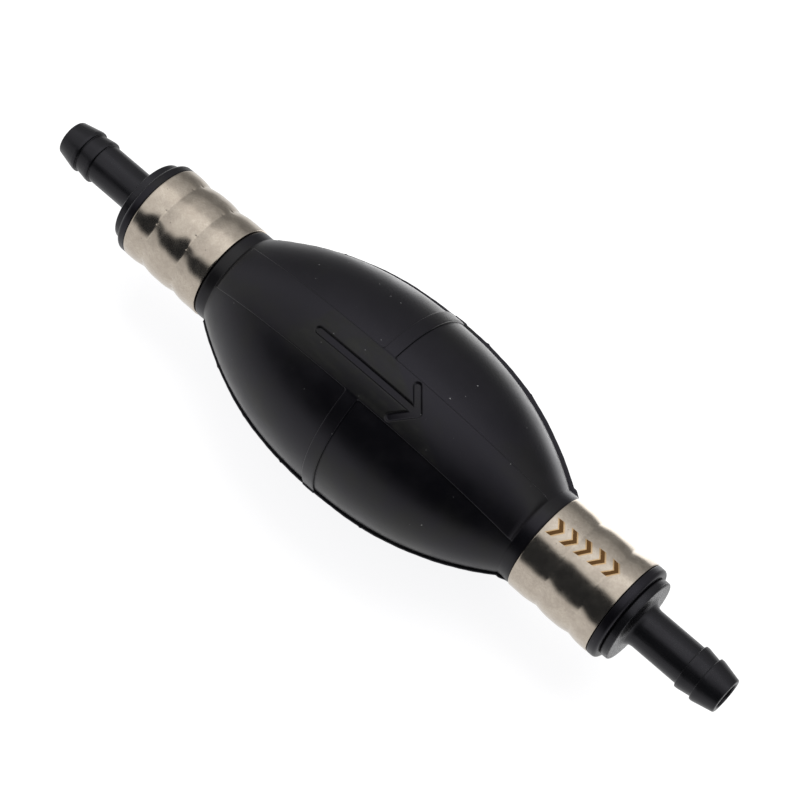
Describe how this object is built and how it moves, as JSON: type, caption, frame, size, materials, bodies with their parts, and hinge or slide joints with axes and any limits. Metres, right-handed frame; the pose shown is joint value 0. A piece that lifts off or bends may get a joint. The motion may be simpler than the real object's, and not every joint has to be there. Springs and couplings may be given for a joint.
{
  "type": "in-line primer bulb",
  "caption": "In-line hand primer bulb for a fuel hose: a squeezable rubber bulb between one-way valves, with a crimped ferrule and a hose barb at each end.",
  "frame": {"origin": "centre of the bulb, on the axis of the fuel passage", "axes": "+X along the fuel's flow, from the inlet to the outlet; +Z out through the upper arrow band; +Y across, through the mould's parting line"},
  "size_m": [0.2016, 0.051, 0.0512],
  "materials": {
    "moulded_rubber": "satin, moulded",
    "stainless_sheet": "satin, crimped",
    "black_nylon": "satin, moulded",
    "white_acetal": "smooth",
    "nitrile_seal": "smooth",
    "spring_wire": "drawn wire"
  },
  "bodies": {
    "pump_body": {"bulb": "moulded_rubber", "inlet_ferrule": "stainless_sheet", "outlet_ferrule": "stainless_sheet", "inlet_hose_barb": "black_nylon", "outlet_hose_barb": "black_nylon", "inlet_valve_housing": "white_acetal", "outlet_valve_housing": "white_acetal", "inlet_housing_o_ring": "nitrile_seal", "outlet_housing_o_ring": "nitrile_seal", "inlet_valve_spring": "spring_wire", "outlet_valve_spring": "spring_wire", "inlet_spring_retainer": "white_acetal", "outlet_spring_retainer": "white_acetal"},
    "upper_wall": {"upper_squeeze_wall": "moulded_rubber"},
    "lower_wall": {"lower_squeeze_wall": "moulded_rubber"},
    "inlet_poppet": {"inlet_valve_poppet": "white_acetal", "inlet_poppet_seal": "nitrile_seal"},
    "outlet_poppet": {"outlet_valve_poppet": "white_acetal", "outlet_poppet_seal": "nitrile_seal"}
  },
  "joints": [
    {"name": "upper_wall_squeeze", "type": "slide", "parent": "pump_body", "child": "upper_wall", "axis": [0, 0, -1], "range_m": [0, 0.008], "stiffness_N_per_m": 2000},
    {"name": "lower_wall_squeeze", "type": "slide", "parent": "pump_body", "child": "lower_wall", "axis": [0, 0, 1], "range_m": [0, 0.008], "stiffness_N_per_m": 2000},
    {"name": "inlet_valve_lift", "type": "slide", "parent": "pump_body", "child": "inlet_poppet", "axis": [1, 0, 0], "range_m": [0, 0.0024], "stiffness_N_per_m": 80, "springref_m": -0.0015, "deforming": ["inlet_valve_spring"]},
    {"name": "outlet_valve_lift", "type": "slide", "parent": "pump_body", "child": "outlet_poppet", "axis": [1, 0, 0], "range_m": [0, 0.0024], "stiffness_N_per_m": 80, "springref_m": -0.0015, "deforming": ["outlet_valve_spring"]}
  ],
  "couplings": [
    {"joint": "lower_wall_squeeze", "follows": "upper_wall_squeeze", "ratio": 1}
  ]
}
